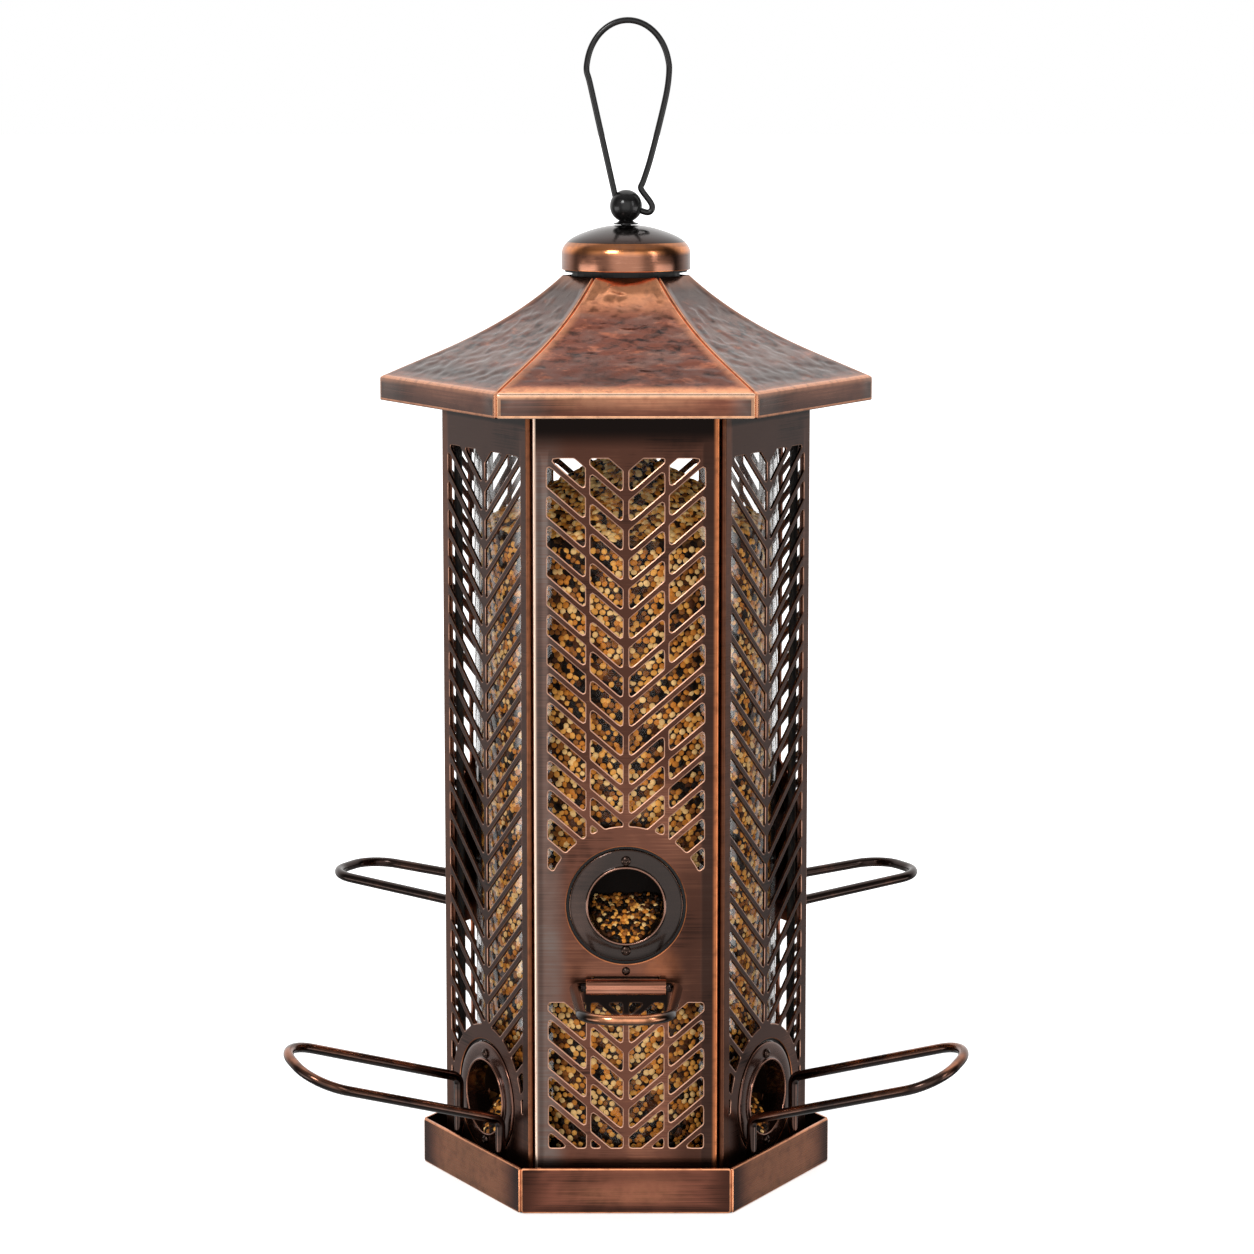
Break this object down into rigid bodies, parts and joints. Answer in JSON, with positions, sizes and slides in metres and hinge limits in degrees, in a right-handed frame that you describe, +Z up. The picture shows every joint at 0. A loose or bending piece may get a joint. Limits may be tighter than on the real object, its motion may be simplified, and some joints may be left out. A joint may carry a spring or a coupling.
{
  "type": "lantern bird feeder",
  "caption": "Six-sided lantern bird feeder with pierced chevron panels round a clear seed tube, hammered roof, lift-off cap, wire hanger, round feeding ports and wire perches.",
  "frame": {"origin": "on the vertical axis of the six-sided body, at the flat underside of the base tray", "axes": "+Z up along the body; the front face, which has an upper port, looks along -Y; +X is to the right seen from the front"},
  "size_m": [0.2554, 0.2755, 0.4424],
  "materials": {
    "antique_copper_sheet": "brushed antique copper with a burnished brown patina",
    "hammered_copper": "hammered antique copper",
    "tray_copper": "brushed antique copper",
    "polished_copper": "polished copper",
    "bronze_wire": "dark bronze wire",
    "hinge_copper": "bright copper",
    "gunmetal": "dark satin gunmetal",
    "dark_fixing": "dark domed fixings",
    "black_enamel": "gloss black",
    "black_plastic": "satin black moulding",
    "clear_plastic": "clear gloss plastic",
    "seed": "loose mixed seed"
  },
  "bodies": {
    "feeder": {"base_tray": "tray_copper", "seed_floor": "black_plastic", "seed_tube_lower": "clear_plastic", "seed_tube_upper": "clear_plastic", "seed_fill": "seed", "roof_frame": "black_plastic", "corner_post_right": "black_plastic", "corner_post_back_right": "black_plastic", "corner_post_back_left": "black_plastic", "corner_post_left": "black_plastic", "corner_post_front_left": "black_plastic", "corner_post_front_right": "black_plastic", "side_panel_front": "antique_copper_sheet", "roof_panel_front": "hammered_copper", "port_insert_front": "gunmetal", "port_screw_top_front": "dark_fixing", "port_screw_bottom_front": "dark_fixing", "perch_hinge_front": "hinge_copper", "hinge_rivet_front": "dark_fixing", "side_panel_front_right": "antique_copper_sheet", "roof_panel_front_right": "hammered_copper", "port_insert_front_right": "gunmetal", "port_screw_top_front_right": "dark_fixing", "port_screw_bottom_front_right": "dark_fixing", "side_panel_back_right": "antique_copper_sheet", "roof_panel_back_right": "hammered_copper", "port_insert_back_right": "gunmetal", "port_screw_top_back_right": "dark_fixing", "port_screw_bottom_back_right": "dark_fixing", "perch_hinge_back_right": "hinge_copper", "hinge_rivet_back_right": "dark_fixing", "side_panel_back": "antique_copper_sheet", "roof_panel_back": "hammered_copper", "port_insert_back": "gunmetal", "port_screw_top_back": "dark_fixing", "port_screw_bottom_back": "dark_fixing", "side_panel_back_left": "antique_copper_sheet", "roof_panel_back_left": "hammered_copper", "port_insert_back_left": "gunmetal", "port_screw_top_back_left": "dark_fixing", "port_screw_bottom_back_left": "dark_fixing", "perch_hinge_back_left": "hinge_copper", "hinge_rivet_back_left": "dark_fixing", "side_panel_front_left": "antique_copper_sheet", "roof_panel_front_left": "hammered_copper", "port_insert_front_left": "gunmetal", "port_screw_top_front_left": "dark_fixing", "port_screw_bottom_front_left": "dark_fixing"},
    "perch_front": {"perch_front": "bronze_wire"},
    "perch_front_right": {"perch_front_right": "bronze_wire"},
    "perch_back_right": {"perch_back_right": "bronze_wire"},
    "perch_back": {"perch_back": "bronze_wire"},
    "perch_back_left": {"perch_back_left": "bronze_wire"},
    "perch_front_left": {"perch_front_left": "bronze_wire"},
    "finial": {"finial_stem": "black_enamel", "stem_nut": "dark_fixing"},
    "lid": {"cap": "polished_copper", "cap_liner": "black_plastic"},
    "hanger": {"finial_ball": "black_enamel", "hanger_wire": "black_enamel"}
  },
  "joints": [
    {"name": "perch_fold_front", "type": "hinge", "parent": "feeder", "child": "perch_front", "pos_m": [0, -0.06484, 0.0858], "axis": [-1, 0, 0], "range_deg": [0, 85]},
    {"name": "perch_lift_front_right", "type": "slide", "parent": "feeder", "child": "perch_front_right", "axis": [0, 0, 1], "range_m": [0, 0.03]},
    {"name": "perch_fold_back_right", "type": "hinge", "parent": "feeder", "child": "perch_back_right", "pos_m": [0.05615, 0.03242, 0.1], "axis": [0.5, -0.866, 0], "range_deg": [0, 85]},
    {"name": "perch_lift_back", "type": "slide", "parent": "feeder", "child": "perch_back", "axis": [0, 0, 1], "range_m": [0, 0.03]},
    {"name": "perch_fold_back_left", "type": "hinge", "parent": "feeder", "child": "perch_back_left", "pos_m": [-0.05615, 0.03242, 0.1], "axis": [0.5, 0.866, 0], "range_deg": [0, 85]},
    {"name": "perch_lift_front_left", "type": "slide", "parent": "feeder", "child": "perch_front_left", "axis": [0, 0, 1], "range_m": [0, 0.03]},
    {"name": "lid_lift", "type": "slide", "parent": "feeder", "child": "finial", "axis": [0, 0, 1], "range_m": [0, 0.06]},
    {"name": "lid_twist", "type": "hinge", "parent": "finial", "child": "lid", "pos_m": [0, 0, 0.356], "axis": [0, 0, 1], "range_deg": [0, 40]},
    {"name": "hanger_swivel", "type": "hinge", "parent": "finial", "child": "hanger", "pos_m": [0, 0, 0.3721], "axis": [0, 0, 1], "range_deg": [-90, 90]}
  ]
}
